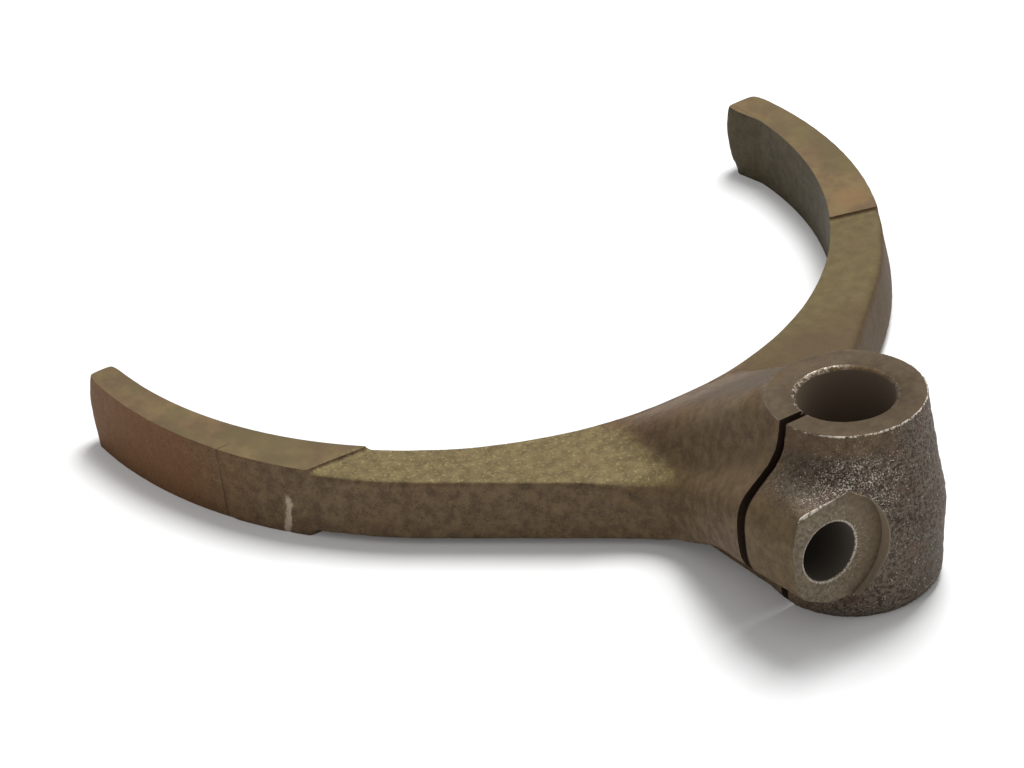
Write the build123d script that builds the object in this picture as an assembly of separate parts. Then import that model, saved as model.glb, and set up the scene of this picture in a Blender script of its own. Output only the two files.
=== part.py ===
from build123d import *
import math
import os

# Selector fork for a gearbox: one casting, with a split clamp hub that grips the shift rail,
# a web that falls from the hub, and a crescent of two arms that ends in machined pads.
# Millimetres. The rail runs along Z through the origin, the hub's lower face is at z = 0,
# and the fork opens towards +Y. The pinch bolt is on the -X side, with its head facing -Y.

# Rail bore and the clamp hub round it
rail_bore_d = 14.0
bore_chamfer = 0.6
hub_height = 29.8
ring_d = 22.9
hub_belly_d = 26.9
hub_belly_z = 13.0
hub_belly_bulge = -0.12
hub_foot_d = 25.0
hub_foot_radius = 2.0

# Crescent that reaches round the sliding sleeve
mouth_radius = 57.2
throat_y = 40.4
arm_wall = 5.1
arm_outer_offset = 4.7
arm_straight_angle = 41.8
arm_thickness = 9.7
arm_lift = 0.85
arm_edge_radius = 0.6
neck_half_width = 11.8
neck_radius = 9.0

# Machined pads at the tips, thicker than the arms, and the skimmed outer wall beside the left one
pad_thickness = 11.15
pad_edge_radius = 0.3
pad_gauge_x = 49.5
pad_before_centre_left = 38.3
pad_slant_left = 3.0
pad_before_centre_right = 33.1
pad_slant_right = -17.0
tip_past_centre = 5.3
tip_top_back = 0.7
tip_crown_z = 6.8
tip_foot_back = 2.1
tip_toe = 1.2
tip_toe_length = 7.5
skim_before_centre = 25.9
skim_slant = 14.0
skim_depth = 0.25

# Web between the hub and the crescent
web_half_width_top = 11.0
web_draft = 1.0
web_crest_share_hub = 0.24
web_crest_share_middle = 0.57
web_crest_share_mouth = 0.42
web_foot_share_hub = 0.21
web_foot_share_middle = 0.35
web_foot_share_mouth = 0.3
web_start_y = 10.5
web_mouth_margin = 2.6
web_runout = 2.0
ring_proud = 0.6

# Clamp ear, saw slit and pinch bolt
slit_width = 1.4
slit_offset = -0.15
ear_reach = 19.7
ear_drop = 6.6
ear_flat_reach = 14.5
ear_bevel_drop = 3.9
ear_foot_z = 8.2
ear_under_z = 5.4
ear_draft = 0.8
ear_round = 4.0
ear_lean = 0.5
ear_rim_reach = 17.5
ear_rim_drop = 1.4
ear_rim_round = 1.0
ear_rim_bevel = 4.4
ear_rim_foot_rise = 0.5
ear_front_stock = 0.2
ear_neck_gap = 0.6
ear_neck_rise = 1.8
ear_flare = 4.4
ear_flare_reach = 16.5
ear_flare_shift = 1.4
ear_crown_radius = 12.0
ear_crown_drop = 4.2
ring_corner = 0.8
bolt_hole_d = 9.0
bolt_offset = 12.5
bolt_tap_d = 6.8
bolt_tap_depth = 8.0
spot_face_d = 18.3
boss_d = 19.5
spot_face_y = 11.25
shoulder_end_margin = 2.73
shoulder_crest_rise = 0.6
shoulder_foot_bow = 1.2

# Values that follow from the sizes above
arm_top = arm_lift + arm_thickness
arm_outer_radius = mouth_radius + arm_wall
fork_reach = throat_y + mouth_radius
arm_centre_y = fork_reach - arm_outer_offset
tip_crown_y = fork_reach + tip_past_centre
tip_top_y = tip_crown_y - tip_top_back
tip_foot_y = tip_crown_y - tip_foot_back
web_top_z = hub_height - ring_proud
web_foot = web_half_width_top + web_draft
shoulder_end_x = web_foot + shoulder_end_margin
ear_top_z = hub_height - ear_drop
ear_shoulder_z = ear_top_z - ear_bevel_drop
bolt_z = (ear_top_z + ear_under_z) / 2
ring_r = ring_d / 2
half_span = arm_outer_radius + 10
beyond = 40.0


def side_face(corners, y):
    """A face square to Y at the given y, from (x, z, corner radius) in order round it."""
    outline = make_face(Polyline(*[(x, z) for x, z, radius in corners], close=True))
    for x, z, radius in corners:
        if radius > 0:
            corner = outline.vertices().sort_by_distance((x, z, 0))[0]
            outline = fillet(corner, radius)
    return Plane(origin=(0, y, 0), x_dir=(1, 0, 0), z_dir=(0, -1, 0)) * outline


def rod_along_y(x, z, diameter, y_from, y_to):
    """A cylinder along Y between two values of y."""
    plane = Plane(origin=(x, y_from, z), x_dir=(1, 0, 0), z_dir=(0, 1, 0))
    return extrude(plane * Circle(diameter / 2), amount=y_to - y_from)


def straight_edge_y(x):
    """Where the straight outer edge of an arm lies at a given distance from the centre plane."""
    turn = math.radians(arm_straight_angle)
    leave_y = arm_centre_y - arm_outer_radius * math.cos(turn)
    return leave_y - (arm_outer_radius * math.sin(turn) - x) * math.tan(turn)


def crescent_outline():
    """The plan of the two arms and their neck, before the tips are shaped."""
    turn = math.radians(arm_straight_angle)
    leave_x = arm_outer_radius * math.sin(turn)
    leave_y = arm_centre_y - arm_outer_radius * math.cos(turn)
    neck_y = straight_edge_y(neck_half_width)
    neck = make_face(Polyline(
        (leave_x, leave_y),
        (neck_half_width, neck_y),
        (neck_half_width, 0),
        (-neck_half_width, 0),
        (-neck_half_width, neck_y),
        (-leave_x, leave_y),
        close=True,
    ))
    for side in (-1, 1):
        corner = neck.vertices().sort_by_distance((side * neck_half_width, neck_y, 0))[0]
        neck = fillet(corner, neck_radius)
    disc = Pos(0, arm_centre_y) * Circle(arm_outer_radius)
    mouth = Pos(0, fork_reach) * Circle(mouth_radius)
    past_tips = Pos(0, tip_crown_y + 1 + beyond) * Rectangle(4 * beyond, 2 * beyond)
    return disc + neck - mouth - past_tips


def crescent_plate(thickness, lift, edge_radius):
    """The crescent as a flat plate, its outer rims rounded and its machined mouth left sharp."""
    plate = Pos(0, 0, lift) * extrude(crescent_outline(), amount=thickness)
    outer_rims = [
        edge for edge in plate.edges().filter_by(Plane.XY)
        if math.dist(tuple(edge @ 0.5)[:2], (0, fork_reach)) > mouth_radius + 0.1
        and (edge @ 0.5).Y < tip_crown_y
    ]
    return fillet(outer_rims, edge_radius)


def pad_zone(side, start, slant):
    """The region past one pad's step, which lies at a small angle across the arm."""
    lean = math.tan(math.radians(slant))
    far = tip_crown_y + beyond
    zone = make_face(Polyline(
        (0, start - pad_gauge_x * lean),
        (side * half_span, start + (half_span - pad_gauge_x) * lean),
        (side * half_span, far),
        (0, far),
        close=True,
    ))
    return extrude(zone, amount=pad_thickness)


def pads():
    """The thicker machined ends of the two arms."""
    left = pad_zone(-1, fork_reach - pad_before_centre_left, pad_slant_left)
    right = pad_zone(1, fork_reach - pad_before_centre_right, pad_slant_right)
    return crescent_plate(pad_thickness, 0, pad_edge_radius) & (left + right)


def mouth_x(y):
    return math.sqrt(mouth_radius ** 2 - (fork_reach - y) ** 2)


def toe():
    """The small inward toe at the right tip."""
    root_y = tip_crown_y - tip_toe_length
    buried = (arm_outer_radius - mouth_radius) / 2
    wedge = make_face(Polyline(
        (mouth_x(root_y), root_y),
        (mouth_x(tip_crown_y) - tip_toe, tip_crown_y),
        (mouth_x(tip_crown_y) + buried, tip_crown_y),
        (mouth_x(root_y) + buried, root_y),
        close=True,
    ))
    return extrude(wedge, amount=pad_thickness)


def tip_envelope():
    """Everything up to the as-cast ends of the arms, which are crowned and fall back at the foot."""
    foot = (tip_foot_y, 0)
    top = (tip_top_y, pad_thickness)
    outline = Curve() + [
        ThreePointArc(top, (tip_crown_y, tip_crown_z), foot),
        Polyline(foot, (0, 0), (0, pad_thickness), top),
    ]
    section = Plane(origin=(-half_span, 0, 0), x_dir=(0, 1, 0), z_dir=(1, 0, 0))
    return extrude(section * make_face(outline), amount=2 * half_span)


def outer_skim():
    """What a cutter has cleaned off the outer wall of the left arm's tip."""
    lean = pad_thickness * math.tan(math.radians(skim_slant))
    start = fork_reach - skim_before_centre
    far = tip_crown_y + beyond
    outline = Polyline(
        (start - lean / 2, 0),
        (start + lean / 2, pad_thickness),
        (far, pad_thickness),
        (far, 0),
        close=True,
    )
    section = Plane(origin=(-half_span, 0, 0), x_dir=(0, 1, 0), z_dir=(1, 0, 0))
    zone = extrude(section * make_face(outline), amount=half_span)
    kept = Pos(0, arm_centre_y) * extrude(Circle(arm_outer_radius - skim_depth), amount=pad_thickness)
    return zone - kept


def crescent():
    arms = crescent_plate(arm_thickness, arm_lift, arm_edge_radius)
    return (arms + pads() + toe() - outer_skim()) & tip_envelope()


def hub_body():
    """The hub turned about the rail, with a belly at mid height and a round foot."""
    belly_r = hub_belly_d / 2
    foot_r = hub_foot_d / 2
    middle_r = (ring_r + belly_r) / 2 + hub_belly_bulge
    outline = Curve() + [
        Line((0, 0), (0, hub_height)),
        Line((0, hub_height), (ring_r, hub_height)),
        ThreePointArc(
            (ring_r, hub_height), (middle_r, (hub_height + hub_belly_z) / 2), (belly_r, hub_belly_z)
        ),
        Line((belly_r, hub_belly_z), (foot_r, hub_foot_radius)),
        RadiusArc((foot_r, hub_foot_radius), (foot_r - hub_foot_radius, 0), hub_foot_radius),
        Line((foot_r - hub_foot_radius, 0), (0, 0)),
    ]
    return revolve(Plane.XZ * make_face(outline), axis=Axis.Z)


def web_top(y):
    """Height of the web's top: level beside the ring, then falling to the crescent's inner edge."""
    fall = (web_top_z - arm_top) / (throat_y - web_start_y)
    return web_top_z - fall * max(0, y - web_start_y)


def web_radius(y, share):
    """A radius as a share of the web's height over the arms at one y."""
    return share * (web_top(y) - arm_top)


def web_section(y, crest_share, foot_share):
    """The web's section at one y: flat topped, round crested, with a fillet down to the arms."""
    top_z = web_top(y)
    crest_radius = web_radius(y, crest_share)
    foot_radius = web_radius(y, foot_share)
    corners = [
        (-web_half_width_top, top_z, crest_radius),
        (web_half_width_top, top_z, crest_radius),
        (web_foot, arm_top, foot_radius),
        (web_foot + foot_radius, arm_top, 0),
        (web_foot + foot_radius, arm_lift, 0),
        (-web_foot - foot_radius, arm_lift, 0),
        (-web_foot - foot_radius, arm_top, 0),
        (-web_foot, arm_top, foot_radius),
    ]
    return side_face(corners, y)


def web_runout_section(y):
    """The web's plain section past the fillets, where it dips under the crescent's top."""
    top_z = arm_top - (y - throat_y) * (web_top_z - arm_top) / (throat_y - web_start_y)
    half = web_half_width_top
    return side_face([(-half, top_z, 0), (half, top_z, 0), (half, arm_lift, 0), (-half, arm_lift, 0)], y)


def web():
    """The hump from the hub's upper face down to the inner edge of the crescent."""
    near_mouth = throat_y - web_mouth_margin
    start = web_section(web_start_y, web_crest_share_hub, web_foot_share_hub)
    middle = web_section(straight_edge_y(shoulder_end_x), web_crest_share_middle, web_foot_share_middle)
    end = web_section(near_mouth, web_crest_share_mouth, web_foot_share_mouth)
    hump = extrude(start, amount=web_start_y) + loft([start, middle, end], ruled=True)
    last = loft([web_runout_section(near_mouth), web_runout_section(throat_y + web_runout)], ruled=True)
    beside = Pos(0, web_start_y) * Rectangle(2 * web_foot, 2 * web_start_y)
    plan = extrude(crescent_outline() + beside, amount=hub_height)
    return (hump + last) & plan


def clamp_section(y, share, neck, wall, crest_radius, flare_radius):
    """One section of the fixed side; share runs from 0 at the slit to 1 where the arm takes over."""
    def between(at_slit, at_arm):
        return at_slit + share * (at_arm - at_slit)

    foot_x = between(hub_foot_d / 2, neck_half_width)
    bow = shoulder_foot_bow * 4 * share * (1 - share)
    corners = [
        (0, web_top(y), 0),
        (-between(ring_r, web_half_width_top), web_top(y), crest_radius),
        (-neck, between(ear_top_z + ear_neck_rise, arm_top + shoulder_crest_rise), flare_radius),
        (-wall, between(ear_shoulder_z, arm_top), between(ear_round, arm_edge_radius)),
        (-wall + between(ear_lean, 0), between(ear_foot_z, arm_lift) + bow, between(ear_round, arm_edge_radius)),
        (-foot_x, between(ear_under_z, arm_lift) + bow, 0),
        (0, between(ear_under_z, arm_lift) + bow, 0),
    ]
    return side_face(corners, y)


def shoulder():
    """The fixed side of the clamp, which runs from the slit into the left arm's outer wall."""
    end_y = straight_edge_y(shoulder_end_x)
    share = web_start_y / end_y
    neck = ring_r + ear_neck_gap
    middle_neck = neck + share * (web_foot - neck)
    middle_wall = ear_reach + share * (shoulder_end_x - ear_reach)
    start_crest = web_radius(web_start_y, web_crest_share_hub)
    end_crest = web_radius(end_y, web_crest_share_middle)
    sections = [
        clamp_section(0, 0, neck, ear_reach, ring_corner, ear_flare),
        clamp_section(web_start_y, share, middle_neck, middle_wall, start_crest, ear_flare),
        clamp_section(end_y, 1, web_foot, shoulder_end_x, end_crest, shoulder_end_margin),
    ]
    return loft(sections, ruled=True)


def ear_section_at_slit():
    """The loose side's section at the slit: a deep blunt ear."""
    return side_face([
        (0, ear_top_z, 0),
        (-ear_flat_reach, ear_top_z, ear_round),
        (-ear_reach, ear_shoulder_z, ear_round),
        (-ear_reach + ear_lean, ear_foot_z, ear_round),
        (-hub_foot_d / 2, ear_under_z, 0),
        (0, ear_under_z, 0),
    ], 0)


def ear_section_at_seat(y):
    """The loose side's section at the bolt's seat, drawn in a little, with a tighter upper corner."""
    rim_z = ear_top_z - ear_rim_drop
    wall = ear_reach - ear_draft
    return side_face([
        (0, ear_top_z, 0),
        (-ear_rim_reach, rim_z, ear_rim_round),
        (-wall, rim_z - ear_rim_bevel, ear_rim_round),
        (-wall + ear_lean, ear_foot_z + ear_rim_foot_rise, ear_round),
        (-hub_foot_d / 2, ear_under_z + ear_rim_foot_rise, 0),
        (0, ear_under_z + ear_rim_foot_rise, 0),
    ], y)


def ear_flare_ring():
    """The concave flare from the hub's wall to the ear's top, fading out towards the bolt's seat."""
    neck_r = math.hypot(ring_r + ear_neck_gap, ear_flare_shift)
    corner = (neck_r, ear_top_z + ear_neck_rise)
    fall = (ear_top_z + ear_neck_rise - ear_shoulder_z) / (ear_reach - ring_r - ear_neck_gap)
    rim_z = corner[1] - fall * (ear_flare_reach - neck_r)
    buried_r = ring_r - ear_neck_rise
    profile = make_face(Polyline(
        (buried_r, web_top_z),
        (ring_r, web_top_z),
        corner,
        (ear_flare_reach, rim_z),
        (ear_flare_reach, ear_foot_z),
        (buried_r, ear_foot_z),
        close=True,
    ))
    profile = fillet(profile.vertices().sort_by_distance((*corner, 0))[0], ear_flare)
    ring = Pos(0, ear_flare_shift) * revolve(Plane.XZ * profile, axis=Axis.Z)
    front = spot_face_y + ear_front_stock
    zone = Pos(-ear_reach / 2, -front / 2, hub_height / 2) * Box(ear_reach, front, hub_height)
    crown_y = ear_crown_radius - front
    crown = Pos(-beyond / 2, crown_y, ear_top_z - ear_crown_drop) * (
        Rot(0, 90, 0) * Cylinder(ear_crown_radius, 2 * beyond)
    )
    return ring & zone & crown


def ear():
    """The loose side of the clamp, from the slit to the pinch bolt's seat, round beside the hub."""
    front = spot_face_y + ear_front_stock
    block = loft([ear_section_at_slit(), ear_section_at_seat(-front)], ruled=True)
    outboard = Pos(-bolt_offset - beyond / 2, 0, 0) * Box(beyond, beyond, 2 * hub_height)
    boss = rod_along_y(-bolt_offset, bolt_z, boss_d, -front, 0)
    return (block & (outboard + boss)) + ear_flare_ring()


def rail_bore():
    """The rail's bore with a chamfer at each mouth."""
    narrow = rail_bore_d / 2
    wide = narrow + bore_chamfer
    seated = (Align.CENTER, Align.CENTER, Align.MIN)
    lower = Cone(wide, narrow, bore_chamfer, align=seated)
    upper = Pos(0, 0, hub_height - bore_chamfer) * Cone(narrow, wide, bore_chamfer, align=seated)
    return Cylinder(narrow, hub_height, align=seated) + lower + upper


def slit():
    """The saw cut from the bore out through the ear, over the hub's full height."""
    return Pos(-beyond / 2, slit_offset, hub_height / 2) * Box(beyond, slit_width, 2 * hub_height)


def pinch_bolt_cuts():
    """The clearance hole and its spot face in the ear, and the tapped hole beyond the slit."""
    spot = rod_along_y(-bolt_offset, bolt_z, spot_face_d, -spot_face_y - beyond, -spot_face_y)
    clearance = rod_along_y(-bolt_offset, bolt_z, bolt_hole_d, -spot_face_y - 1, slit_offset)
    tap_end = slit_offset + slit_width / 2 + bolt_tap_depth
    tapped = rod_along_y(-bolt_offset, bolt_z, bolt_tap_d, slit_offset, tap_end)
    return spot + clearance + tapped


def selector_fork():
    casting = crescent() + hub_body() + web() + ear() + shoulder()
    return casting - rail_bore() - slit() - pinch_bolt_cuts()


os.makedirs("parts", exist_ok=True)
fork = selector_fork()
export_step(fork, "parts/selector_fork.step")
print("volume", round(fork.volume, 1), "valid", fork.is_valid, "solids", len(fork.solids()))
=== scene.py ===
"""Selector fork: looks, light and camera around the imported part. Metres, in the row frame."""
import math

import bmesh
import bpy
import numpy as np
from mathutils import Matrix, Vector, noise


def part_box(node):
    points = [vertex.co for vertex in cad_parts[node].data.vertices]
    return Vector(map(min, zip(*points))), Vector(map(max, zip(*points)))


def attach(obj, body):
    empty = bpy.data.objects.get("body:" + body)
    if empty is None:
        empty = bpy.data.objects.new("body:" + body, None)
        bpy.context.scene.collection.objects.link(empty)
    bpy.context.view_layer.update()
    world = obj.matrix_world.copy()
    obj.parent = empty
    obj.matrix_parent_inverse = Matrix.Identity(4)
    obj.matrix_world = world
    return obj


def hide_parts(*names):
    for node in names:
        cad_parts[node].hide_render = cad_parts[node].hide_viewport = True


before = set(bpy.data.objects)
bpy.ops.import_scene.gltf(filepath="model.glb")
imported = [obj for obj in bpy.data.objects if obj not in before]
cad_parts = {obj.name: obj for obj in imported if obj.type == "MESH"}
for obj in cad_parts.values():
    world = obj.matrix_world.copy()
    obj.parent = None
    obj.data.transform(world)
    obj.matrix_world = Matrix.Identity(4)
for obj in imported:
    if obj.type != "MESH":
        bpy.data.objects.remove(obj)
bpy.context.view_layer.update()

MM = 0.001
PER_METRE = 1000.0

# Camera, measured from the photograph: where it stands, and its right and up directions
CAMERA_PLACE_MM = (-568.37, -760.67, 615.40)
CAMERA_RIGHT = (0.80607, -0.58859, -0.06171)
CAMERA_UP = (0.35079, 0.39120, 0.85083)
CAMERA_LENS = 281.25
CAMERA_SENSOR = 36.0

# Light and floor
KEY_PLACE, KEY_TARGET = (0.40, 0.27, 1.02), (0, 0.04, 0)
KEY_SIZE, KEY_POWER = (0.42, 0.55), 13.0
WORLD_LIGHT = 0.42
FLOOR_TONE = 0.86
FLOOR_GLOW = 0.06
FLOOR_HALF = 3.0

# Sizes of the machined places, in millimetres; the rims, the slit's opening and the thread are
# only modelled here
BORE_R = 7.0
BORE_CHAMFER = 0.6
HUB_TOP = 29.8
RING_R = 11.45
BELLY_R, BELLY_Z = 13.45, 13.0
BELLY_BULGE = -0.12
SLIT_Y = (-0.85, 0.55)
SLIT_OUTER_Y = (-0.72, 1.3)
SLIT_OUTER_X = -19.7
SLIT_OPENING = 0.091
SLIT_REACH = 1.3
BOLT_X, BOLT_Z = -12.5, 14.3
BOLT_HOLE_R = 4.5
HOLE_RIM = 0.2
TAP_R = 3.4
TAP_DEPTH = 8.0
THREAD_PITCH = 1.25
THREAD_HEIGHT = 0.6
THREAD_SHARP = 2.6
THREAD_FADE = 1.5
THREAD_START = 0.4
SPOT_R = 9.15
SPOT_Y = -11.25
MOUTH_R = 57.2
MOUTH_Y = 97.6
MOUTH_END_Y = 95.0
PAD_TOP = 11.15
PAD_START_Y = 58.0
ARM_TOP = 10.55
ARM_FOOT = 0.85
ARM_OUTER_R, ARM_OUTER_Y = 60.0, 92.9
SHOULDER_X, SHOULDER_Y = -14.73, 22.4
BEND_R, BEND_DEGREES = 8.0, 60.6
BEND_RISE = 2.4
BEYOND = 40.0

# The raw casting before it is machined, in millimetres
VOXEL = 0.40
STOCK = 0.8
SEAT_STOCK = 1.9
MERGED = 0.002

# Smoothing of its skin, and what is raised on it, in millimetres
FIRST_RELAX, BLEND_ROUNDS, LAST_RELAX = 8, 120, 2
RIGHT_BULGE = 0.85
WAVE_SIZE, WAVE_HEIGHT = 7.0, 0.06
GRIT_SIZE, GRIT_HEIGHT, HUB_GRIT = 1.15, 0.022, 0.085
SHARP_ANGLE = 48

# Dark and light tone of each part of the surface, as sRGB from 0 to 255
TONES = {
    "wall": ((87, 71, 54), (115, 95, 72)),
    "arm_top": ((94, 81, 53), (121, 107, 72)),
    "pad": ((104, 84, 62), (118, 100, 68)),
    "hub": ((62, 54, 45), (110, 98, 85)),
    "ear": ((92, 76, 54), (112, 94, 66)),
    "web": ((92, 74, 52), (114, 93, 66)),
    "ring": ((74, 62, 47), (91, 76, 57)),
    "seat": ((84, 75, 60), (124, 112, 92)),
    "mouth": ((66, 58, 42), (82, 73, 54)),
}
# Light colour of the bright edges, partly wear and partly painted highlight, and of the hub's painted
# glints
WEAR_AND_HIGHLIGHT = (205, 196, 182)


class Graph:
    """Short names for building one material's node tree."""

    def __init__(self, material):
        material.use_nodes = True
        self.tree = material.node_tree
        self.tree.nodes.clear()

    def node(self, kind, inputs=None, **settings):
        made = self.tree.nodes.new(kind)
        for name, value in settings.items():
            setattr(made, name, value)
        for name, value in (inputs or {}).items():
            self.put(made.inputs[name], value)
        return made

    def put(self, socket, value):
        if isinstance(value, bpy.types.NodeSocket):
            self.tree.links.new(value, socket)
        else:
            socket.default_value = value

    def math(self, operation, a, b=0.0, clamp=False):
        made = self.node("ShaderNodeMath", operation=operation, use_clamp=clamp)
        self.put(made.inputs[0], a)
        self.put(made.inputs[1], b)
        return made.outputs[0]

    def step(self, value, low, high):
        """0 below low and 1 above high, smooth between; low may be the larger."""
        made = self.node("ShaderNodeMapRange", interpolation_type="SMOOTHSTEP")
        flip = not isinstance(low, bpy.types.NodeSocket) and low > high
        self.put(made.inputs["Value"], value)
        self.put(made.inputs["From Min"], high if flip else low)
        self.put(made.inputs["From Max"], low if flip else high)
        made.inputs["To Min"].default_value = 1.0 if flip else 0.0
        made.inputs["To Max"].default_value = 0.0 if flip else 1.0
        return made.outputs["Result"]

    def near(self, value, target, tolerance):
        """1 where a value lies within the tolerance of the target."""
        apart = self.math("ABSOLUTE", self.math("SUBTRACT", value, target))
        return self.math("LESS_THAN", apart, tolerance)

    def length(self, a, b):
        squares = [self.math("MULTIPLY", value, value) for value in (a, b)]
        return self.math("SQRT", self.math("ADD", *squares))

    def combined(self, x, y, z):
        return self.node("ShaderNodeCombineXYZ", {"X": x, "Y": y, "Z": z}).outputs["Vector"]

    def both(self, *values):
        result = values[0]
        for value in values[1:]:
            result = self.math("MULTIPLY", result, value)
        return result

    def either(self, *values):
        result = values[0]
        for value in values[1:]:
            result = self.math("MAXIMUM", result, value)
        return result

    def mix(self, factor, a, b):
        made = self.node("ShaderNodeMix", data_type="RGBA", clamp_factor=True)
        self.put(made.inputs[0], factor)
        self.put(made.inputs[6], a)
        self.put(made.inputs[7], b)
        return made.outputs[2]

    def mix_value(self, factor, a, b):
        made = self.node("ShaderNodeMix", data_type="FLOAT", clamp_factor=True)
        self.put(made.inputs[0], factor)
        self.put(made.inputs[2], a)
        self.put(made.inputs[3], b)
        return made.outputs[0]

    def tone(self, name, value, low, high):
        """One of the surface's tones, from dark at low to light at high."""
        dark, light = TONES[name]
        return self.mix(self.step(value, low, high), srgb(*dark), srgb(*light))

    def over(self, colour, top, *factors):
        """Lays an sRGB colour over another as far as all the factors say."""
        return self.mix(self.both(*factors), colour, srgb(*top))

    def moved(self, value, other, share):
        """A value with a share of another added."""
        return self.math("ADD", value, self.math("MULTIPLY", other, share))

    def line(self, value, foot, slope, z):
        """How far a value is from a line that leans by slope for each millimetre of height."""
        aim = self.math("ADD", foot, self.math("MULTIPLY", z, slope))
        return self.math("ABSOLUTE", self.math("SUBTRACT", value, aim))

    def distance(self, place, target):
        made = self.node("ShaderNodeVectorMath", {0: place, 1: target}, operation="DISTANCE")
        return made.outputs["Value"]

    def noise(self, vector, size_mm, detail=3.0, rough=0.55, distortion=0.0):
        made = self.node("ShaderNodeTexNoise", noise_dimensions="3D")
        self.put(made.inputs["Vector"], vector)
        made.inputs["Scale"].default_value = 1.0 / (size_mm * MM)
        made.inputs["Detail"].default_value = detail
        made.inputs["Roughness"].default_value = rough
        made.inputs["Distortion"].default_value = distortion
        return made.outputs["Fac"]


def srgb(red, green, blue):
    """A colour of 0 to 255 as the linear colour that a shader takes."""
    def linear(value):
        value /= 255.0
        return value / 12.92 if value <= 0.04045 else ((value + 0.055) / 1.055) ** 2.4
    return (linear(red), linear(green), linear(blue), 1.0)


class Surface:
    """Where a point of the casting is, in millimetres, and the noises that its looks share."""

    def __init__(self, g):
        coordinates = g.node("ShaderNodeTexCoord")
        self.place = coordinates.outputs["Object"]
        facing = g.node("ShaderNodeSeparateXYZ", {"Vector": coordinates.outputs["Normal"]})
        self.faces_x, self.faces_y, self.up = (facing.outputs[axis] for axis in "XYZ")
        split = g.node("ShaderNodeSeparateXYZ", {"Vector": self.place})
        self.x, self.y, self.z = (
            g.math("MULTIPLY", split.outputs[axis], PER_METRE) for axis in "XYZ"
        )
        self.radius = g.length(self.x, self.y)
        self.bolt_x = g.math("SUBTRACT", self.x, BOLT_X)
        self.bolt_z = g.math("SUBTRACT", self.z, BOLT_Z)
        self.bolt = g.length(self.bolt_x, self.bolt_z)
        self.mouth = g.length(self.x, g.math("SUBTRACT", self.y, MOUTH_Y))
        # From patches of stain down to the grain of the sand
        self.stain = g.noise(self.place, 16.0, detail=3.0)
        self.patch = g.noise(self.place, 6.0, detail=4.0, rough=0.6)
        self.mottle = g.noise(self.place, 1.7, detail=5.0, rough=0.65)
        self.speckle = g.noise(self.place, 0.55, detail=2.0, rough=0.7)
        self.grain = g.noise(self.place, 0.22, detail=1.0, rough=0.5)


def machined_places(g, s):
    """Masks of the machined faces, of the slit, painted dark as shade, of the spot face's wall,
    painted light, and of the bright edges, partly wear and partly painted highlight.
    """
    past_ring = g.math("MAXIMUM", g.math("SUBTRACT", -RING_R, s.x), 0.0)
    opening = g.math("MULTIPLY", past_ring, SLIT_OPENING)
    hole_r, seat_y = BOLT_HOLE_R, SPOT_Y
    # How far towards the far left a point lies, where the bore's chamfer carries most of its painted
    # highlight
    far_left = g.step(g.moved(s.y, s.x, -0.6), 1.0, 6.0)
    return {
        "ring": g.step(s.z, HUB_TOP - 0.06, HUB_TOP - 0.02),
        "bore": g.both(
            g.step(s.radius, BORE_R + 0.12, BORE_R + 0.04), g.step(s.z, HUB_TOP - 0.1, HUB_TOP - 0.5),
        ),
        # Painted highlight on the bore's chamfer
        "chamfer": g.both(
            g.step(s.radius, BORE_R + 0.05, BORE_R + 0.12), g.step(s.radius, 7.75, 7.6),
            g.step(s.z, 29.0, 29.2), g.mix_value(far_left, 0.05, 1.0),
        ),
        # Painted highlight on the ring's rim, strongest at the front, over a rim that is also bright
        # from wear
        "ring_rim_wear_and_highlight": g.both(
            g.step(s.radius, RING_R - 0.2, RING_R - 0.1), g.step(s.z, HUB_TOP - 0.28, HUB_TOP - 0.15),
            g.step(s.speckle, 0.42, 0.56), g.mix_value(g.step(s.y, 3.0, -6.0), 0.05, 0.9),
        ),
        # The slit's walls, painted dark as shade inside the narrow cut
        "slit": g.both(
            g.step(s.x, -BORE_R + 0.1, -BORE_R - 0.1), g.step(s.y, -0.9, -0.86),
            g.step(g.math("SUBTRACT", s.y, opening), 0.6, 0.56),
        ),
        "seat": g.both(g.near(s.y, seat_y, 0.04), g.step(s.bolt, SPOT_R + 0.08, SPOT_R + 0.03)),
        # The spot face's wall, painted lighter to stand in for light it does not get on its shaded
        # side
        "seat_wall_painted_light": g.both(
            g.step(s.bolt, SPOT_R + 0.12, SPOT_R + 0.05), g.step(s.y, seat_y - 0.03, seat_y - 0.08),
        ),
        "hole": g.both(
            g.step(s.bolt, hole_r + 0.08, hole_r + 0.03), g.step(s.y, seat_y + 0.1, seat_y + 0.3),
            g.step(s.y, 6.0, 5.0),
        ),
        "hole_rim": g.both(
            g.step(s.bolt, hole_r + 0.45, hole_r + 0.25), g.step(s.y, seat_y + 0.35, seat_y + 0.2),
            g.step(s.bolt, hole_r, hole_r + 0.06), g.step(s.y, seat_y - 0.1, seat_y - 0.02),
        ),
        "mouth": g.near(s.mouth, MOUTH_R, 0.03),
        "toe": g.both(
            g.step(s.y, 93.8, 94.8), g.step(s.mouth, 59.8, 59.2), g.step(s.up, 0.6, 0.4),
            g.step(s.x, 0.0, 1.0),
        ),
        "pad": g.both(g.near(s.z, PAD_TOP, 0.03), g.step(s.y, 59.0, 60.0)),
        "under": g.step(s.z, 0.04, 0.01),
    }


def hub_mask(g, s):
    """The rough-cast hub and the ear's top, with a smoother part below the ring."""
    over_ear = g.both(g.step(s.z, 18.5, 22.0), g.step(s.x, -19.0, -14.0), 0.85)
    round_hub = g.both(g.step(s.radius, 16.5, 13.8), g.step(s.x, -14.5, -10.0))
    smooth = g.both(g.step(s.z, 25.0, 27.5), g.step(s.x, 3.0, -4.0), 0.75)
    hub = g.both(g.step(s.y, 3.0, -5.0), g.either(round_hub, over_ear))
    return g.both(hub, g.math("SUBTRACT", 1.0, smooth))


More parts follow.
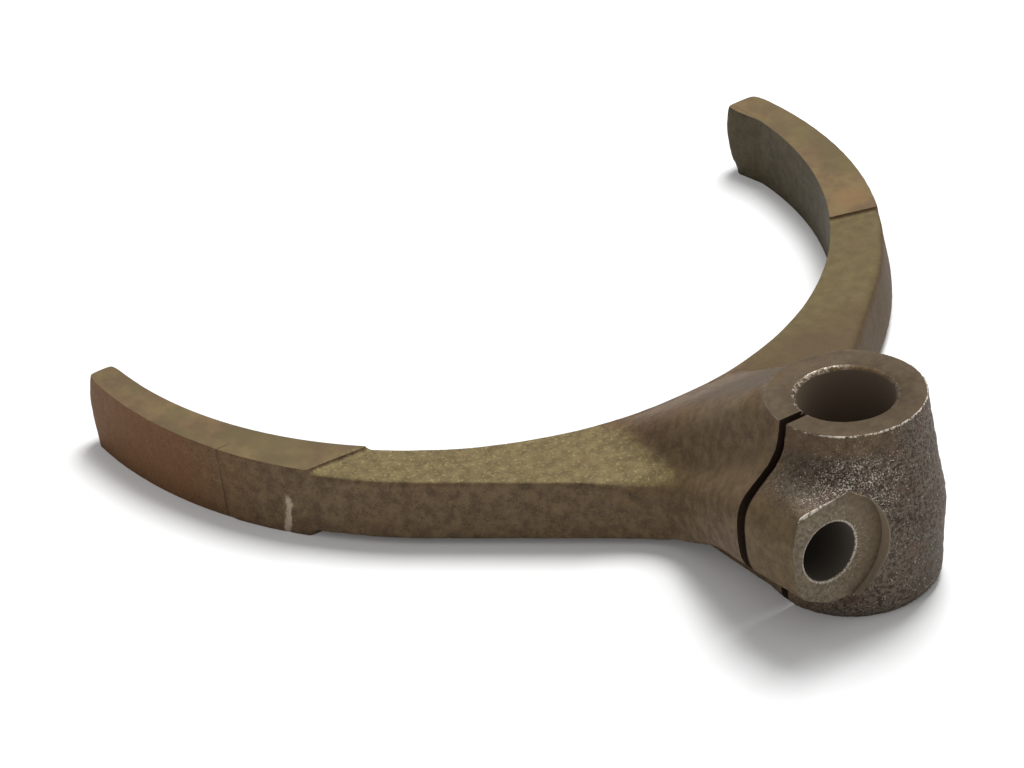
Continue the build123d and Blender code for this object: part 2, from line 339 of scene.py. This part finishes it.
def wall_colour(g, s):
    """The brown walls of the arms, redder at the left tip and darker on the right."""
    brown = g.tone("wall", s.mottle, 0.34, 0.66)
    brown = g.over(brown, (98, 70, 50), g.step(s.stain, 0.5, 0.68), 0.5)
    brown = g.over(brown, (96, 88, 62), g.step(s.patch, 0.55, 0.75), 0.3)
    brown = g.over(brown, (80, 63, 39), g.step(s.x, 12.0, 26.0), 0.85)
    tip = g.step(g.moved(s.y, s.patch, 12.0), 66.0, 92.0)
    brown = g.over(brown, (112, 74, 42), g.both(g.step(s.x, -40.0, -50.0), tip), 0.8)
    left = g.step(s.x, 0.0, -8.0)
    brown = g.over(brown, (140, 119, 76), g.step(s.grain, 0.62, 0.72), left, 0.6)
    return g.over(brown, (58, 46, 34), g.step(s.speckle, 0.40, 0.30), left, 0.5)


def arm_top_colour(g, s, left):
    """The olive tops of the arms, speckled on the left and browner near the web on the right."""
    olive = g.tone("arm_top", s.mottle, 0.3, 0.7)
    olive = g.over(olive, (158, 143, 100), g.step(s.speckle, 0.52, 0.72), left, 0.6)
    olive = g.over(olive, (108, 88, 64), g.step(s.patch, 0.52, 0.72), 0.45)
    olive = g.over(olive, (92, 80, 52), g.step(s.x, 0.0, 12.0), 0.55)
    near_web = g.step(g.moved(s.y, s.patch, 14.0), 56.0, 44.0)
    return g.over(olive, (88, 70, 50), g.step(s.x, 4.0, 12.0), near_web, 0.75)


def pad_colour(g, s):
    """The smooth tan of the pads, with an orange patch by the right one's step."""
    tan = g.tone("pad", s.patch, 0.35, 0.65)
    tan = g.over(tan, (92, 72, 54), g.step(s.mottle, 0.45, 0.7), 0.35)
    tan = g.over(tan, (92, 84, 56), g.step(s.stain, 0.46, 0.6), 0.6)
    spill = g.distance(s.place, (0.0530, 0.0676, 0.0111))
    spill = g.step(g.moved(spill, s.mottle, 0.002), 0.0042, 0.0030)
    return g.over(tan, (128, 98, 64), spill, 0.45)


def hub_colour(g, s):
    """Dark sand-cast metal with reddish and greenish stains, glinting above the spot face."""
    sand = g.tone("hub", s.speckle, 0.36, 0.62)
    sand = g.over(sand, (94, 66, 54), g.step(s.patch, 0.48, 0.66), 0.45)
    sand = g.over(sand, (66, 66, 54), g.step(s.stain, 0.5, 0.62), 0.35)
    # Painted highlights: bright glints of the grain, most in a spot above the spot face
    glinting = g.step(g.distance(s.place, (-0.0078, -0.0125, 0.0220)), 0.0105, 0.002)
    glints = g.step(s.grain, g.mix_value(glinting, 0.64, 0.52), g.mix_value(glinting, 0.76, 0.62))
    return g.over(sand, WEAR_AND_HIGHLIGHT, glints, g.step(s.mottle, 0.36, 0.54))


def web_colour(g, s):
    """The web's brown, with painted shade on the faces that turn towards the key lamp."""
    tone = g.tone("web", s.mottle, 0.3, 0.7)
    # Painted shade: the web is darkened where it faces the key lamp
    facing_key_lamp = g.math("ADD", g.math("MULTIPLY", s.faces_x, 0.8), g.math("MULTIPLY", s.faces_y, 0.5))
    return g.over(tone, (58, 45, 29), g.step(facing_key_lamp, -0.25, 0.3), 0.6)


def seat_colour(g, s):
    """The spot face, with rings from the cutter and short radial scratches."""
    tone = g.tone("seat", s.speckle, 0.35, 0.65)
    tone = g.over(tone, (96, 80, 60), g.step(s.x, -13.0, -7.0), 0.6)
    turned = g.node("ShaderNodeTexWave", {
        "Vector": g.combined(s.bolt, 0.0, 0.0), "Scale": 1.3, "Distortion": 1.5, "Detail": 2.0,
    }, wave_type="BANDS", bands_direction="X").outputs["Fac"]
    tone = g.over(tone, (146, 134, 114), turned, 0.22)
    angle = g.math("ARCTAN2", s.bolt_z, s.bolt_x)
    around = g.combined(g.math("MULTIPLY", angle, 0.014), g.math("MULTIPLY", s.bolt, 0.0005), 0.0)
    scratch = g.step(g.noise(around, 0.4, detail=2.0, rough=0.6), 0.56, 0.68)
    inner = g.step(s.bolt, 8.6, 5.0)
    return g.over(tone, (176, 166, 150), scratch, inner, g.step(s.patch, 0.35, 0.6), 0.75)


def cast_colour(g, s, hub, left):
    """The skin as cast: walls, web, arm tops, the ear's outer wall and the hub."""
    web = g.both(g.step(s.up, 0.15, 0.5), g.step(s.radius, 34.0, 26.0), g.step(s.y, -3.0, 2.0))
    from_web = g.moved(g.math("ABSOLUTE", s.x), g.math("SUBTRACT", s.patch, 0.5), 7.0)
    flat_top = g.both(
        g.step(s.up, 0.55, 0.9), g.step(from_web, 9.5, 14.5), g.step(s.z, 12.8, 11.2),
        g.step(s.y, 14.0, 24.0),
    )
    ear = g.both(g.step(s.x, -12.5, -15.5), g.step(s.y, 2.0, 0.0), g.step(s.z, 23.5, 18.5))
    colour = g.mix(web, wall_colour(g, s), web_colour(g, s))
    colour = g.mix(flat_top, colour, arm_top_colour(g, s, left))
    colour = g.mix(ear, colour, g.tone("ear", s.mottle, 0.35, 0.7))
    return g.mix(hub, colour, hub_colour(g, s))


def machined_colour(g, s, colour, places, pad_tan):
    """The machined faces and the inner walls over the cast skin, with painted shade in the slit and
    painted light on the spot face's wall.
    """
    ring = g.tone("ring", s.mottle, 0.3, 0.7)
    ring = g.over(ring, (92, 72, 50), g.step(s.patch, 0.5, 0.7), 0.5)
    mouth = g.tone("mouth", s.mottle, 0.3, 0.7)
    colour = g.mix(g.either(places["mouth"], places["toe"]), colour, mouth)
    colour = g.mix(places["under"], colour, pad_tan)
    colour = g.mix(places["ring"], colour, ring)
    colour = g.over(colour, (100, 87, 73), places["bore"])
    # Painted shade: the slit's walls are painted dark
    colour = g.over(colour, (56, 43, 33), places["slit"])
    colour = g.over(colour, (84, 78, 70), places["hole"])
    # Painted light on the spot face's wall
    colour = g.over(colour, (150, 134, 114), places["seat_wall_painted_light"])
    return g.mix(places["seat"], colour, seat_colour(g, s))


def wear_and_highlight_colour(g, s, colour, places):
    """Bright edges, partly wear and partly painted highlight, then the scrape and the thin line on
    the left arm's outer wall.
    """
    # The ring's rim, bright from wear with a painted highlight at the front, the bore's chamfer with
    # its painted highlight, and the bolt hole's bright rim
    colour = g.over(colour, WEAR_AND_HIGHLIGHT, places["ring_rim_wear_and_highlight"])
    colour = g.over(colour, WEAR_AND_HIGHLIGHT, places["chamfer"], g.step(s.speckle, 0.44, 0.62), 0.6)
    colour = g.over(colour, WEAR_AND_HIGHLIGHT, places["hole_rim"], g.step(s.grain, 0.35, 0.6), 0.8)
    # Painted highlight along the spot face's top edge
    above_ear = g.step(g.moved(s.z, s.x, -0.17), 24.1, 24.35)
    seat_edge_highlight = g.both(
        g.near(s.y, SPOT_Y, 0.22), g.step(s.z, 18.5, 21.5), g.step(s.x, -8.5, -10.0), above_ear,
    )
    colour = g.over(colour, WEAR_AND_HIGHLIGHT, seat_edge_highlight, g.step(s.speckle, 0.35, 0.55), 0.9)

    wander = g.math("MULTIPLY", g.math("SUBTRACT", s.mottle, 0.5), 1.6)
    scrape = g.both(
        g.step(g.line(g.math("ADD", s.y, wander), 62.4, -0.065, s.z), 0.6, 0.2),
        g.step(s.x, -50.0, -52.0), g.step(s.z, 6.8, 5.4), g.step(s.speckle, 0.25, 0.45),
    )
    colour = g.over(colour, (186, 170, 148), scrape, 0.8)
    skim = g.line(g.moved(s.y, wander, 0.3), 71.8, 0.072, s.z)
    return g.over(colour, (62, 48, 36), g.step(skim, 0.32, 0.08), g.step(s.x, -56.0, -57.5), 0.5)


def casting_material():
    """Oxidised bronze: rough cast on the hub, smoother on the arms, turned on the machined faces."""
    material = bpy.data.materials.new("oxidised_bronze_casting")
    g = Graph(material)
    s = Surface(g)
    places = machined_places(g, s)
    hub = hub_mask(g, s)
    left = g.step(s.x, 10.0, -10.0)

    pad_tan = pad_colour(g, s)
    colour = cast_colour(g, s, hub, left)
    colour = g.mix(places["pad"], colour, pad_tan)
    colour = machined_colour(g, s, colour, places, pad_tan)
    colour = wear_and_highlight_colour(g, s, colour, places)

    machined_face = g.either(*[
        places[name] for name in ("ring", "bore", "seat", "mouth", "pad", "under", "hole")
    ])
    height = g.math("ADD", g.math("MULTIPLY", s.speckle, 0.8), g.math("MULTIPLY", s.mottle, 0.5))
    bump = g.node("ShaderNodeBump", {"Height": height, "Distance": 0.00025})
    strength = g.mix_value(hub, g.mix_value(left, 0.3, 0.5), 0.7)
    g.put(bump.inputs["Strength"], g.mix_value(machined_face, strength, 0.06))
    shader = g.node("ShaderNodeBsdfPrincipled", {
        "Base Color": colour,
        "Normal": bump.outputs["Normal"],
        "Metallic": 0.25,
        "Specular IOR Level": 0.18,
    })
    # The bright edges, partly wear and partly painted highlight, are smoother
    wear_and_highlight_edges = g.either(*[places[name] for name in ("ring_rim_wear_and_highlight", "chamfer", "hole_rim")])
    rough = g.mix_value(s.speckle, 0.55, 0.72)
    g.put(shader.inputs["Roughness"], g.mix_value(wear_and_highlight_edges, rough, 0.3))
    output = g.node("ShaderNodeOutputMaterial")
    g.tree.links.new(shader.outputs["BSDF"], output.inputs["Surface"])
    return material


def add_wall(made, low, high):
    """Faces between two rows of as many corners, all the way round."""
    for i in range(len(low)):
        j = (i + 1) % len(low)
        made.faces.new((low[i], low[j], high[j], high[i]))


def closed_mesh(name, rings):
    """A closed skin through rings of as many points each, in millimetres."""
    made = bmesh.new()
    rows = [[made.verts.new([value * MM for value in point]) for point in ring] for ring in rings]
    for low, high in zip(rows, rows[1:]):
        add_wall(made, low, high)
    made.faces.new(rows[0][::-1])
    made.faces.new(rows[-1])
    bmesh.ops.recalc_face_normals(made, faces=made.faces)
    mesh = bpy.data.meshes.new(name)
    made.to_mesh(mesh)
    made.free()
    holder = bpy.data.objects.new(name, mesh)
    bpy.context.scene.collection.objects.link(holder)
    return holder


def full_turn(segments):
    """Angles spread evenly over one turn."""
    return [2 * math.pi * k / segments for k in range(segments)]


def lathe(name, profile, segments=128):
    """A solid of revolution about Z, from (radius, z) points that start and end off the axis."""
    rings = []
    for radius, z in profile:
        turns = full_turn(segments)
        rings.append([(radius * math.cos(a), radius * math.sin(a), z) for a in turns])
    return closed_mesh(name, rings)


def rod(name, x, z, radii_and_y, segments=96):
    """A solid of revolution along Y about the axis at x and z."""
    rings = []
    for radius, y in radii_and_y:
        turns = full_turn(segments)
        rings.append([(x + radius * math.cos(a), y, z + radius * math.sin(a)) for a in turns])
    return closed_mesh(name, rings)


def block(name, low, high):
    """A box from its lowest corner to its highest."""
    corners = [(low[0], low[1]), (high[0], low[1]), (high[0], high[1]), (low[0], high[1])]
    return closed_mesh(name, [[(x, y, z) for x, y in corners] for z in (low[2], high[2])])


def slab(name, outline, z_low, z_high):
    """A solid along Z from an outline of (x, y) points."""
    return closed_mesh(name, [[(x, y, z) for x, y in outline] for z in (z_low, z_high)])


def thread_cutter():
    """The tapped hole with its helical thread, cut into the web side of the slit."""
    rings = []
    segments, rows = 64, 72
    for row in range(rows + 1):
        y = SLIT_Y[1] - THREAD_START + (TAP_DEPTH + THREAD_START) * row / rows
        ring = []
        for k, turn in enumerate(full_turn(segments)):
            phase = (y / THREAD_PITCH + k / segments) % 1.0
            deep = THREAD_HEIGHT * max(0.0, 1.0 - abs(phase - 0.5) * THREAD_SHARP)
            fade = min(1.0, max(0.0, (SLIT_Y[1] + TAP_DEPTH - y) / THREAD_FADE))
            radius = TAP_R + deep * fade
            ring.append((BOLT_X + radius * math.cos(turn), y, BOLT_Z + radius * math.sin(turn)))
        rings.append(ring)
    return closed_mesh("cut_thread", rings)


def slit_outline():
    """The saw cut in plan: parallel at the ring, and a little open at the ear's outer wall."""
    slope = [(SLIT_OUTER_Y[i] - SLIT_Y[i]) / (SLIT_OUTER_X + RING_R) for i in (0, 1)]
    far = SLIT_OUTER_X * SLIT_REACH
    return [
        (0, SLIT_Y[0]), (0, SLIT_Y[1]), (-RING_R, SLIT_Y[1]),
        (far, SLIT_Y[1] + slope[1] * (far + RING_R)),
        (far, SLIT_Y[0] + slope[0] * (far + RING_R)),
        (-RING_R, SLIT_Y[0]),
    ]


def mouth_outline():
    """The sleeve's circle, as far as the toe at the right tip."""
    end = math.asin((MOUTH_END_Y - MOUTH_Y) / MOUTH_R)
    turns = [math.pi - end + (math.pi + 2 * end) * k / 240 for k in range(241)]
    return [(MOUTH_R * math.cos(a), MOUTH_Y + MOUTH_R * math.sin(a)) for a in turns]


def cutters():
    """What the machining takes away, one solid for each place."""
    wide = BORE_R + BORE_CHAMFER + 2
    bore = lathe("cut_bore", [
        (wide, -2), (BORE_R, BORE_CHAMFER), (BORE_R, HUB_TOP - BORE_CHAMFER), (wide, HUB_TOP + 2),
    ])
    top = block("cut_top", (-BEYOND, -BEYOND, HUB_TOP), (BEYOND, BEYOND, HUB_TOP + BEYOND))
    pads = block("cut_pads", (-2 * BEYOND, PAD_START_Y, PAD_TOP), (2 * BEYOND, 3 * BEYOND, BEYOND))
    under = block("cut_under", (-2 * BEYOND, -BEYOND, -BEYOND), (2 * BEYOND, 3 * BEYOND, 0))
    mouth = slab("cut_mouth", mouth_outline(), -5, 20)
    slit = slab("cut_slit", slit_outline(), -1, HUB_TOP + 5)
    spot = rod("cut_spot", BOLT_X, BOLT_Z, [(SPOT_R, SPOT_Y - BEYOND), (SPOT_R, SPOT_Y)])
    hole = rod("cut_hole", BOLT_X, BOLT_Z, [
        (BOLT_HOLE_R + HOLE_RIM + 1, SPOT_Y - 1), (BOLT_HOLE_R, SPOT_Y + HOLE_RIM), (BOLT_HOLE_R, 0),
    ])
    return [bore, top, pads, under, mouth, slit, spot, hole, thread_cutter()]


def evaluated_mesh(holder, name):
    """The mesh that an object's modifiers make of it, as a mesh of its own."""
    graph = bpy.context.evaluated_depsgraph_get()
    mesh = bpy.data.meshes.new_from_object(holder.evaluated_get(graph), depsgraph=graph)
    mesh.name = name
    return mesh


def raised(cad, on_face, moved):
    """Solids that stand on the part's faces that on_face picks, as far as moved takes each corner."""
    made = bmesh.new()
    for polygon in cad.data.polygons:
        corners = [cad.data.vertices[i].co * PER_METRE for i in polygon.vertices]
        if not all(on_face(corner) for corner in corners):
            continue
        low = [made.verts.new(corner * MM) for corner in corners]
        high = [made.verts.new(moved(corner) * MM) for corner in corners]
        made.faces.new(low[::-1])
        made.faces.new(high)
        add_wall(made, low, high)
    bmesh.ops.recalc_face_normals(made, faces=made.faces)
    return made


def mouth_distance(point):
    """How far a point is from the axis of the sleeve that the mouth fits."""
    return math.hypot(point.x, point.y - MOUTH_Y)


def stock(cad):
    """Metal that stood on the faces before they were machined, and in the slit."""
    def on_pads(point):
        return abs(point.z - PAD_TOP) < 0.01 and point.y > PAD_START_Y

    def on_mouth(point):
        return abs(mouth_distance(point) - MOUTH_R) < 0.02 and point.y < MOUTH_END_Y

    def on_slit(y):
        return lambda p: abs(p.y - y) < 0.01 and p.x < -BORE_R + 0.1

    def into_mouth(point):
        axis = Vector((0, MOUTH_Y, point.z))
        return axis + (point - axis) * (MOUTH_R - STOCK) / MOUTH_R

    across = SLIT_Y[1] - SLIT_Y[0] + 0.1
    return [
        raised(cad, on_slit(SLIT_Y[0]), lambda p: p + Vector((0, across, 0))),
        raised(cad, on_slit(SLIT_Y[1]), lambda p: p - Vector((0, across, 0))),
        raised(cad, lambda p: abs(p.y - SPOT_Y) < 0.01, lambda p: p - Vector((0, SEAT_STOCK, 0))),
        raised(cad, on_pads, lambda p: p + Vector((0, 0, STOCK))),
        raised(cad, lambda p: abs(p.z) < 0.01, lambda p: p - Vector((0, 0, STOCK))),
        raised(cad, on_mouth, into_mouth),
    ]


def hub_profile():
    """The hub's turned outline, with stock above the ring's face and below the foot."""
    profile = [
        (0.01, -STOCK), (11.2, -STOCK), (11.2, 0.15), (11.95, 0.72), (12.38, 1.45), (12.5, 2.0),
        (BELLY_R, BELLY_Z),
    ]
    for k in range(1, 9):
        t = k / 8
        radius = BELLY_R + (RING_R - BELLY_R) * t + 4 * t * (1 - t) * BELLY_BULGE
        profile.append((radius, BELLY_Z + (HUB_TOP - BELLY_Z) * t))
    return profile + [(RING_R, HUB_TOP + 2 * STOCK), (0.01, HUB_TOP + 2 * STOCK)]


def shoulder_bend():
    """A concave filler where the arm's outer wall turns into the shoulder."""
    turn = math.radians(BEND_DEGREES)
    reach = BEND_R * math.tan(turn / 2)
    along = Vector((0.7455, -0.6665))
    outward = Vector((-0.6665, -0.7455))
    start = Vector((SHOULDER_X, SHOULDER_Y)) - along * reach
    centre = start + outward * BEND_R
    foot, top = ARM_FOOT + 0.1, ARM_TOP - 0.5
    low, high = [], []
    steps = 12
    for k in range(steps + 1):
        share = k / steps
        arm = -outward * BEND_R
        arm.rotate(Matrix.Rotation(-turn * share, 2))
        point = centre + arm
        low.append((point.x, point.y, foot + BEND_RISE * share ** 2))
        high.append((point.x, point.y, top))
    inside = ((SHOULDER_X + 1, SHOULDER_Y - reach, 1.0), (SHOULDER_X + 2, SHOULDER_Y + 4, 0.0))
    for x, y, share in inside:
        low.append((x, y, foot + BEND_RISE * share))
        high.append((x, y, top))
    return closed_mesh("fill_bend", [low, high])


def raw_casting(cad):
    """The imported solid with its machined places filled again, as one even skin."""
    plug_r = BOLT_HOLE_R + 0.3
    fillers = [
        lathe("fill_hub", hub_profile()),
        rod("fill_hole", BOLT_X, BOLT_Z, [
            (plug_r, SPOT_Y - SEAT_STOCK), (plug_r, SLIT_Y[1] + TAP_DEPTH + 0.5),
        ]),
        shoulder_bend(),
    ]
    joined = bmesh.new()
    for source in [cad] + fillers:
        joined.from_mesh(source.data)
    for made in stock(cad):
        piece = bpy.data.meshes.new("stock")
        made.to_mesh(piece)
        made.free()
        joined.from_mesh(piece)
        bpy.data.meshes.remove(piece)
    mesh = bpy.data.meshes.new("raw_casting")
    joined.to_mesh(mesh)
    joined.free()
    for filler in fillers:
        bpy.data.objects.remove(filler)
    holder = bpy.data.objects.new("raw_casting", mesh)
    bpy.context.scene.collection.objects.link(holder)
    remesh = holder.modifiers.new("skin", "REMESH")
    remesh.mode = "VOXEL"
    remesh.voxel_size = VOXEL * MM
    remesh.adaptivity = 0.0
    even = evaluated_mesh(holder, "even_casting")
    bpy.data.objects.remove(holder)
    return even


def smoothstep(value, low, high):
    """0 below low and 1 above high, smooth between."""
    share = np.clip((value - low) / (high - low), 0.0, 1.0)
    return share * share * (3 - 2 * share)


class Skin:
    """A mesh's points as arrays, with its edges, for smoothing and roughening."""

    def __init__(self, mesh):
        self.mesh = mesh
        count = len(mesh.vertices)
        flat = np.empty(count * 3, np.float64)
        mesh.vertices.foreach_get("co", flat)
        self.points = flat.reshape(-1, 3) * PER_METRE
        pairs = np.empty(len(mesh.edges) * 2, np.int64)
        mesh.edges.foreach_get("vertices", pairs)
        self.pairs = pairs.reshape(-1, 2)
        ends = np.concatenate([self.pairs[:, 0], self.pairs[:, 1]])
        self.valence = np.bincount(ends, minlength=count).astype(float)[:, None]

    def mean_of_neighbours(self, values):
        a, b = self.pairs[:, 0], self.pairs[:, 1]
        total = np.zeros_like(values)
        for axis in range(values.shape[1]):
            total[:, axis] = np.bincount(a, values[b, axis], len(values))
            total[:, axis] += np.bincount(b, values[a, axis], len(values))
        return total / self.valence

    def relax(self, weight, rounds, forward=0.5, back=-0.53):
        """Smooths without shrinking; weight says where, from 0 to 1."""
        for _ in range(rounds):
            for step in (forward, back):
                pull = self.mean_of_neighbours(self.points) - self.points
                self.points += step * weight[:, None] * pull

    def soften(self, weight, rounds, step=0.5):
        """Plain smoothing, which rounds crests and fills corners where weight says."""
        for _ in range(rounds):
            pull = self.mean_of_neighbours(self.points) - self.points
            self.points += step * weight[:, None] * pull

    def normals(self):
        self.store()
        flat = np.empty(len(self.points) * 3, np.float32)
        self.mesh.vertices.foreach_get("normal", flat)
        return flat.reshape(-1, 3).astype(float)

    def store(self):
        self.mesh.vertices.foreach_set("co", (self.points / PER_METRE).ravel())
        self.mesh.update()


def noise_field(points, size, offset, octaves=2):
    """Fractal noise at each point, about -1 to 1."""
    shift = Vector(offset)
    return np.array([
        noise.fractal(Vector(point) / size + shift, 0.6, 2.0, octaves) for point in points
    ])


def blend_weight(points):
    """How far each point takes part in the casting's large blends, from 0 to 1."""
    x, y, z = points.T
    radius = np.hypot(x, y)
    from_mouth = np.hypot(x, y - MOUTH_Y) - MOUTH_R
    from_outer = np.hypot(x, y - ARM_OUTER_Y)
    web = smoothstep(y, -8.0, -2.0) * smoothstep(from_mouth, 1.0, 5.0)
    web *= smoothstep(24.0 - np.abs(x), 0.0, 6.0)
    web *= smoothstep(z, 2.5, 6.5) * smoothstep(radius, 10.0, 12.5)
    web *= 1 - 0.6 * smoothstep(z, 27.0, 28.6)
    ear = smoothstep(-7.0 - x, 0.0, 2.0) * smoothstep(y, -10.6, -6.5)
    ear *= smoothstep(-y, -2.0, 0.0) * smoothstep(z, 4.0, 7.0)
    hub = smoothstep(radius, 10.5, 11.0) * smoothstep(15.0 - radius, 0.0, 1.5)
    hub *= smoothstep(5.0 - y, 0.0, 3.0) * smoothstep(z, 3.0, 5.5)
    hub *= smoothstep(28.8 - z, 0.0, 1.5) * smoothstep(x, -8.5, -5.0)
    tips = smoothstep(y, 99.5, 101.5) * np.where(x > 0, 0.2, 0.12)
    edge = smoothstep(from_outer, 60.3, 61.3) * smoothstep(x, 8.0, 20.0)
    edge *= smoothstep(60.0 - y, 0.0, 6.0) * smoothstep(z, 8.0, 9.5) * smoothstep(y, 10.0, 16.0)
    return np.max([web, 0.6 * ear, 0.45 * hub, tips, 0.3 * edge], axis=0)


def roughened(mesh):
    """Blends the casting's corners and gives its skin the roughness of sand-cast bronze."""
    skin = Skin(mesh)
    everywhere = np.ones(len(skin.points))
    skin.relax(everywhere, FIRST_RELAX)
    skin.soften(blend_weight(skin.points), BLEND_ROUNDS)
    skin.relax(everywhere, LAST_RELAX)

    # The right arm's outer wall stands out a little towards its foot
    x, y, z = skin.points.T
    from_outer = np.hypot(x, y - ARM_OUTER_Y) - ARM_OUTER_R
    right_wall = smoothstep(from_outer, 0.0, 1.5) * smoothstep(x, 12.0, 24.0)
    right_wall *= smoothstep(y, 16.0, 26.0) * smoothstep(72.0 - y, 0.0, 12.0)
    right_wall *= smoothstep(ARM_TOP - z, 0.0, 8.0)
    outward = skin.normals() * np.array([1.0, 1.0, 0.0])
    skin.points += outward * (RIGHT_BULGE * right_wall)[:, None]

    # Waves of the mould all over, and the grit of the sand, most on the hub
    x, y, z = skin.points.T
    radius = np.hypot(x, y)
    normal = skin.normals()
    hub = smoothstep(16.0 - radius, 0.0, 2.5) * smoothstep(3.0 - y, 0.0, 5.0)
    pads = smoothstep(y, 60.0, 66.0)
    wave = noise_field(skin.points, WAVE_SIZE, (3.1, 0.2, 5.3))
    grit = noise_field(skin.points, GRIT_SIZE, (0.7, 8.2, 2.4), 3)
    height = WAVE_HEIGHT * wave * (1 - 0.75 * pads)
    height += grit * (GRIT_HEIGHT + HUB_GRIT * hub) * (1 - 0.8 * pads)
    skin.points += normal * height[:, None]
    low, high = (np.array(corner) * PER_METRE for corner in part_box("selector_fork"))
    below_and_above = [0, 0, 2 * STOCK]
    skin.points = np.clip(skin.points, low - below_and_above, high + below_and_above)
    skin.store()
    return mesh


def machined(mesh):
    """Cuts the machined faces, the bore, the slit and the bolt's holes into the casting."""
    holder = bpy.data.objects.new("selector_fork_casting", mesh)
    bpy.context.scene.collection.objects.link(holder)
    tools = cutters()
    for tool in tools:
        cut = holder.modifiers.new(tool.name, "BOOLEAN")
        cut.operation = "DIFFERENCE"
        cut.solver = "MANIFOLD"
        cut.object = tool
    finished = evaluated_mesh(holder, "selector_fork_casting")
    holder.modifiers.clear()
    holder.data = finished
    for tool in tools:
        bpy.data.objects.remove(tool)
    return holder


def unfold(mesh):
    """Merges the points that coincide, and deletes pairs of faces that lie on each other."""
    made = bmesh.new()
    made.from_mesh(mesh)
    bmesh.ops.remove_doubles(made, verts=made.verts, dist=MERGED * MM)
    bmesh.ops.triangulate(made, faces=made.faces)
    by_corners = {}
    for face in made.faces:
        by_corners.setdefault(frozenset(face.verts), []).append(face)
    folded = [face for faces in by_corners.values() if len(faces) > 1 for face in faces]
    bmesh.ops.delete(made, geom=folded, context="FACES")
    made.to_mesh(mesh)
    made.free()


def add_casting():
    """The fork itself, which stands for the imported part."""
    piece = machined(roughened(raw_casting(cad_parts["selector_fork"])))
    mesh = piece.data
    unfold(mesh)
    mesh.polygons.foreach_set("use_smooth", [True] * len(mesh.polygons))
    mesh.set_sharp_from_angle(angle=math.radians(SHARP_ANGLE))
    mesh.materials.clear()
    mesh.materials.append(casting_material())
    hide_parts("selector_fork")
    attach(piece, "root")
    print("casting triangles", sum(len(face.vertices) - 2 for face in mesh.polygons))
    return piece


def floor_material():
    """A pale floor that looks a little brighter than it lights."""
    material = bpy.data.materials.new("pale_floor")
    g = Graph(material)
    rays = g.node("ShaderNodeLightPath")
    seen = g.either(*[
        rays.outputs[f"Is {kind} Ray"] for kind in ("Camera", "Glossy", "Transmission")
    ])
    tone = (FLOOR_TONE, FLOOR_TONE, FLOOR_TONE, 1.0)
    lit = g.node("ShaderNodeBsdfDiffuse", {"Color": tone})
    glow = g.node("ShaderNodeEmission", {"Color": (1.0, 1.0, 1.0, 1.0)})
    g.put(glow.inputs["Strength"], g.math("MULTIPLY", seen, FLOOR_GLOW))
    both = g.node("ShaderNodeAddShader")
    g.put(both.inputs[0], lit.outputs["BSDF"])
    g.put(both.inputs[1], glow.outputs["Emission"])
    output = g.node("ShaderNodeOutputMaterial")
    g.tree.links.new(both.outputs["Shader"], output.inputs["Surface"])
    return material


def add_floor():
    mesh = bpy.data.meshes.new("floor")
    signs = ((-1, -1), (1, -1), (1, 1), (-1, 1))
    corners = [(FLOOR_HALF * across, FLOOR_HALF * along, 0) for across, along in signs]
    mesh.from_pydata(corners, [], [(0, 1, 2, 3)])
    floor = bpy.data.objects.new("floor", mesh)
    bpy.context.scene.collection.objects.link(floor)
    mesh.materials.append(floor_material())


def add_world():
    """White behind everything, and a dimmer white as light."""
    world = bpy.data.worlds.new("studio")
    bpy.context.scene.world = world
    world.use_nodes = True
    tree = world.node_tree
    tree.nodes.clear()
    rays = tree.nodes.new("ShaderNodeLightPath")
    seen = tree.nodes.new("ShaderNodeMath")
    seen.operation = "MAXIMUM"
    tree.links.new(rays.outputs["Is Camera Ray"], seen.inputs[0])
    tree.links.new(rays.outputs["Is Transmission Ray"], seen.inputs[1])
    strength = tree.nodes.new("ShaderNodeMapRange")
    tree.links.new(seen.outputs[0], strength.inputs["Value"])
    strength.inputs["To Min"].default_value = WORLD_LIGHT
    strength.inputs["To Max"].default_value = 1.0
    background = tree.nodes.new("ShaderNodeBackground")
    background.inputs["Color"].default_value = (1.0, 1.0, 1.0, 1.0)
    tree.links.new(strength.outputs["Result"], background.inputs["Strength"])
    output = tree.nodes.new("ShaderNodeOutputWorld")
    tree.links.new(background.outputs["Background"], output.inputs["Surface"])


def add_lamp(name, place, target, size, power):
    lamp = bpy.data.lights.new(name, "AREA")
    lamp.shape = "RECTANGLE"
    lamp.size, lamp.size_y = size
    lamp.energy = power
    holder = bpy.data.objects.new(name, lamp)
    bpy.context.scene.collection.objects.link(holder)
    holder.location = place
    holder.rotation_mode = "QUATERNION"
    holder.rotation_quaternion = (Vector(target) - Vector(place)).to_track_quat("-Z", "Y")


def add_camera():
    data = bpy.data.cameras.new("camera")
    data.lens = CAMERA_LENS
    data.sensor_width = CAMERA_SENSOR
    data.clip_start, data.clip_end = 0.01, 10.0
    camera = bpy.data.objects.new("camera", data)
    bpy.context.scene.collection.objects.link(camera)
    right = Vector(CAMERA_RIGHT).normalized()
    up = Vector(CAMERA_UP).normalized()
    back = right.cross(up)
    up = back.cross(right)
    turned = Matrix((right, up, back)).transposed().to_4x4()
    camera.matrix_world = Matrix.Translation(Vector(CAMERA_PLACE_MM) * MM) @ turned
    bpy.context.scene.camera = camera


add_casting()
add_floor()
add_world()
add_lamp("key", KEY_PLACE, KEY_TARGET, KEY_SIZE, KEY_POWER)
add_camera()
bpy.context.scene.view_settings.view_transform = "Standard"

bpy.context.view_layer.update()
